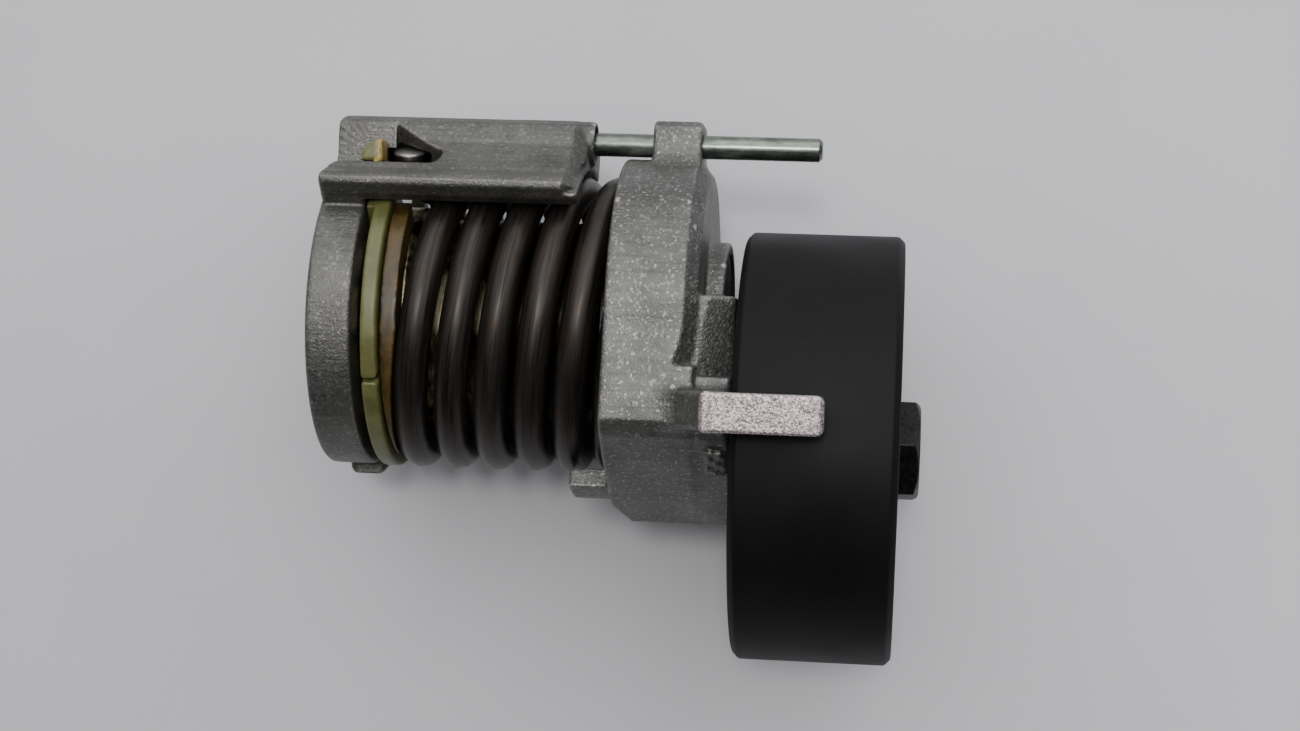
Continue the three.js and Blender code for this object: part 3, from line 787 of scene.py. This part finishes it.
# Spring.
def spring_points():
    bend = math.radians(TANG_TURN)
    start = polar(1, SPRING_FROM)
    back = polar(1, SPRING_FROM - 90)
    steps = 12
    lead = [(bend, TANG_LENGTH), (bend, TANG_LENGTH - 0.35), (bend, TANG_LENGTH / 2)]
    lead += [(bend * (1 - i / steps), 0.0) for i in range(steps + 1)]
    path = []
    for turn, straight in lead:
        out = COIL_R + TANG_BEND * (1 - math.cos(turn)) + straight * math.sin(turn)
        side = TANG_BEND * math.sin(turn) + straight * math.cos(turn)
        x = coil_x(SPRING_FROM) + (TANG_X - coil_x(SPRING_FROM)) * turn / bend
        path.append((x, start[0] * out + back[0] * side, start[1] * out + back[1] * side))
    per_turn = 64
    for i in range(1, SPRING_TURNS * per_turn + 1):
        phi = SPRING_FROM + 360 * i / per_turn
        path.append((coil_x(phi), *polar(COIL_R, phi)))
    return path


def torsion_spring():
    piece = sweep("torsion_spring_wire", spring_points(), WIRE_R)
    stand_for(piece, "torsion_spring", "spring")


# Rings at the spring's rear end.
def damper_shoe(name, node, start, end, tab):
    f = Field((6.6, -28.5, -28.5), (15.4, 33.5, 28.5), 0.3)
    solid = f.prism(sector_outline(20.6, 26.7, start, end), 11.3, 14.1, 0.5)
    if tab:
        foot = f.prism(sector_outline(21, 26.4, 46, 68), 9.8, 12, 0.4)
        neck = f.prism(sector_outline(24, 31, 62, 68), 9.8, 10.8, 0.3)
        tab_x = 11.2
        tab_y = RECESS_Y + 0.3
        across = np.sqrt((f.x - tab_x) ** 2 + (f.y - tab_y) ** 2) - 3.9
        thumb = np.maximum(np.maximum(across, f.x - tab_x), tab_y - f.y)
        thumb = f.slab(thumb, f.z, RECESS_FLOOR + 0.3, 13.4, 0.5)
        solid = melt(melt(melt(solid, foot, 0.6), neck, 0.4), thumb, 0.4)
    stand_for(f.mesh(name, solid), node, "cream")


def spring_seat():
    f = Field((13.6, -26, -26), (18.2, 26, 26), 0.3)
    phi = np.degrees(np.arctan2(f.y, f.z)) % 360
    phi = np.where(phi < 180, phi + 360, phi)
    ramp = np.minimum(17.2, coil_x(phi) - WIRE_R - 0.3)
    solid = f.prism(sector_outline(20.6, 25.2, 285, 413), 14.4, 17.3, 0.0)
    solid = np.maximum(solid, f.x - ramp)
    stand_for(f.mesh("spring_seat_fine", solid), "spring_seat_ramp", "amber")


# Turned pieces: node, closed profile, axis (y, z), material, edge radius.
def turned_pieces():
    mid = PULLEY_MID
    inner_race = [
        (mid - 7, 8.5), (mid - 7, 12.6), (mid - 3.8, 12.6), (mid - 2.2, 10.8), (mid + 2.2, 10.8),
        (mid + 3.8, 12.6), (mid + 7, 12.6), (mid + 7, 8.5),
    ]
    outer_race = [
        (mid - 7, 20), (mid - 7, 16.2), (mid - 3.8, 16.2), (mid - 2.2, 18), (mid + 2.2, 18),
        (mid + 3.8, 16.2), (mid + 7, 16.2), (mid + 7, 20),
    ]
    hub = mid - 7.4
    shell = [
        (PULLEY_X0, 34.4), (PULLEY_X0, 36.9), (PULLEY_X0 + 1.1, PULLEY_R), (PULLEY_X1 - 1.1, PULLEY_R),
        (PULLEY_X1, 36.9), (PULLEY_X1, 34.4), (mid + 4, 33.4), (mid + 3, 32.6), (mid + 7.4, 22.7),
        (mid + 7.4, 20.3), (hub, 20.3), (hub, 22.7), (mid - 3, 32.6), (mid - 4, 33.4),
    ]
    shield = [
        (96.9, 5.6), (96.9, 9.4), (97.7, 10.2), (97.7, 23.4), (98.9, 24.6), (99.7, 24.6), (98.5, 23.4),
        (98.5, 5.6),
    ]
    sleeve = [
        (9.8, 17.2), (9.8, 20.2), (17.4, 20.2), (18.6, 18.2), (50.6, 18.2), (51.4, 17.8), (51.4, 17.2),
    ]
    shaft = [
        (3.3, 0), (3.3, 8.2), (4.1, 9), (68.7, 9), (68.7, 8), (69.9, 8), (69.9, 9), (70.6, 8.3), (70.6, 0),
    ]
    pin = [
        (PIN_X0, 0), (PIN_X0, 1.5), (PIN_X0 + 0.6, PIN_R), (PIN_X1 - 0.6, PIN_R), (PIN_X1, 1.5), (PIN_X1, 0),
    ]
    cap = [(71, 0), (71, 13.3), (72.1, 13.3), (72.1, 0)]
    axis = (PULLEY_Y, 0.0)
    pivot = (0.0, 0.0)
    return [
        ("pulley_rim", shell, axis, "pulley", 0.35),
        ("bearing_inner_ring", inner_race, axis, "steel", 0.3),
        ("bearing_outer_ring", outer_race, axis, "steel", 0.3),
        ("bearing_seal_rear", [(83.1, 12.9), (83.1, 15.9), (84.3, 15.9), (84.3, 12.9)], axis, "rubber", 0.3),
        ("bearing_seal_front", [(94.9, 12.9), (94.9, 15.9), (96.1, 15.9), (96.1, 12.9)], axis, "rubber", 0.3),
        ("front_dust_shield", shield, axis, "zinc", 0.3),
        ("bolt_washer", [(98.8, 5.3), (98.8, 10.4), (100.9, 10.4), (100.9, 5.3)], axis, "zinc", 0.3),
        ("spring_guide_sleeve", sleeve, pivot, "bright", 0.3),
        ("pivot_shaft", shaft, pivot, "steel", 0.2),
        ("hub_cap", cap, pivot, "rubber", 0.4),
        ("lock_pin", pin, (PIN_Y, PIN_Z), "zinc", 0.2),
    ]


def bolt_piece():
    f = Field((BOLT_HEAD_X0 - 1, PULLEY_Y - 10.5, -10.5), (BOLT_X1 + 1, PULLEY_Y + 10.5, 10.5), 0.16)
    corner = BOLT_AF / math.sqrt(3)
    outline = []
    for i in range(6):
        y, z = polar(corner, 60 * i + BOLT_TURN)
        outline.append((y + PULLEY_Y, z))
    head = f.prism(outline, BOLT_HEAD_X0, BOLT_X1, 0.15)
    r = np.sqrt((f.y - PULLEY_Y) ** 2 + f.z ** 2)
    cone = ((f.x - BOLT_X1) * 1.75 + (r - corner + 1.75)) / 2.0
    head = np.maximum(head, cone)
    shank_x1 = BOLT_HEAD_X0 + 0.3
    shank = lathe("bolt_shank_fine", [(72, 0), (72, 4.3), (72.7, 5), (shank_x1, 5), (shank_x1, 0)], PULLEY_Y)
    extra(shank, "pulley_bolt", "bolt")
    stand_for(f.mesh("pulley_bolt_head", head), "pulley_bolt", "bolt")


def dress_kept_nodes():
    for node, obj in frame["nodes"].items():
        material = MATERIALS[CAD_FINISH[NODE_SLOT[node]]]
        if not obj.material_slots:
            obj.data.materials.append(material)
        for slot in obj.material_slots:
            slot.material = material


# Stage.
def make_camera():
    data = bpy.data.cameras.new("camera")
    data.lens = CAMERA_LENS
    data.sensor_width = 36
    data.clip_start = 0.01
    camera = bpy.data.objects.new("camera", data)
    axes = Matrix(CAMERA_AXES).transposed().to_4x4()
    camera.matrix_world = Matrix.Translation(Vector(CAMERA_AT) * MM) @ axes
    joined.objects.link(camera)
    bpy.context.scene.camera = camera


def make_floor():
    n = Nodes("pale_bench", (0.5, 0.5, 0.5), 0.6, 0.0)
    place = n.place()
    shade = n.noise(place, 0.012, 3)
    axes = n.axes(place)
    # Painted shade: the floor is painted darker towards low X and low Y, standing for the light's fall-off
    # across the bench.
    across = n.math("ADD", n.math("MULTIPLY", axes["X"], 0.5), axes["Y"])
    pale = n.mix(n.span(shade, 0.3, 0.7), (0.55, 0.552, 0.575), (0.59, 0.592, 0.615))
    painted_floor_shade = n.mix(n.span(shade, 0.3, 0.7), (0.42, 0.42, 0.44), (0.46, 0.46, 0.48))
    n.set("Base Color", n.mix(n.span(across, -150, 120), painted_floor_shade, pale))
    mesh = bpy.data.meshes.new("floor")
    corners = [(i * FLOOR_SIZE, j * FLOOR_SIZE, 0) for i, j in ((-1, -1), (1, -1), (1, 1), (-1, 1))]
    mesh.from_pydata(corners, [], [(0, 1, 2, 3)])
    floor = bpy.data.objects.new("floor", mesh)
    floor.data.materials.append(n.material)
    floor.matrix_world = Matrix.Translation(Vector(FLOOR_POINT) * MM) @ Matrix.Rotation(
        math.radians(FLOOR_TILT), 4, "Y"
    )
    joined.objects.link(floor)


def make_light():
    """A soft key from above, and a studio dome that is bright behind the bridge and dim opposite."""
    sun = bpy.data.lights.new("key", "SUN")
    sun.energy = KEY_ENERGY
    sun.angle = math.radians(KEY_ANGLE)
    sun.color = (1.0, 0.985, 0.96)
    key = bpy.data.objects.new("key", sun)
    key.matrix_world = Vector(KEY_FROM).to_track_quat("Z", "Y").to_matrix().to_4x4()
    joined.objects.link(key)
    world = bpy.data.worlds.new("studio")
    bpy.context.scene.world = world
    world.use_nodes = True
    tree = world.node_tree
    place = tree.nodes.new("ShaderNodeTexCoord")
    towards = tree.nodes.new("ShaderNodeVectorMath")
    towards.operation = "DOT_PRODUCT"
    towards.inputs[1].default_value = Vector(DOME_FROM).normalized()
    glow = tree.nodes.new("ShaderNodeMapRange")
    glow.inputs["From Min"].default_value = DOME_EDGE
    glow.inputs["From Max"].default_value = 1.0
    glow.inputs["To Min"].default_value = DOME_DIM
    glow.inputs["To Max"].default_value = DOME_BRIGHT
    tree.links.new(place.outputs["Generated"], towards.inputs[0])
    tree.links.new(towards.outputs["Value"], glow.inputs["Value"])
    background = tree.nodes["Background"]
    background.inputs["Color"].default_value = (0.98, 0.985, 1.0, 1)
    tree.links.new(glow.outputs["Result"], background.inputs["Strength"])


def make_pieces():
    dress_kept_nodes()
    base_casting()
    arm_casting()
    torsion_spring()
    damper_shoe("damper_shoe_upper_fine", "damper_shoe_upper", -24, 57, True)
    damper_shoe("damper_shoe_lower_fine", "damper_shoe_lower", 118, 334, False)
    spring_seat()
    bolt_piece()
    for node, profile, (y, z), material, edge in turned_pieces():
        piece = lathe(node + "_fine", rounded(profile, edge), y, z)
        stand_for(piece, node, material)
        if node == "pulley_rim":
            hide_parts("pulley_hub_disc")


make_camera()
make_floor()
make_light()
make_pieces()
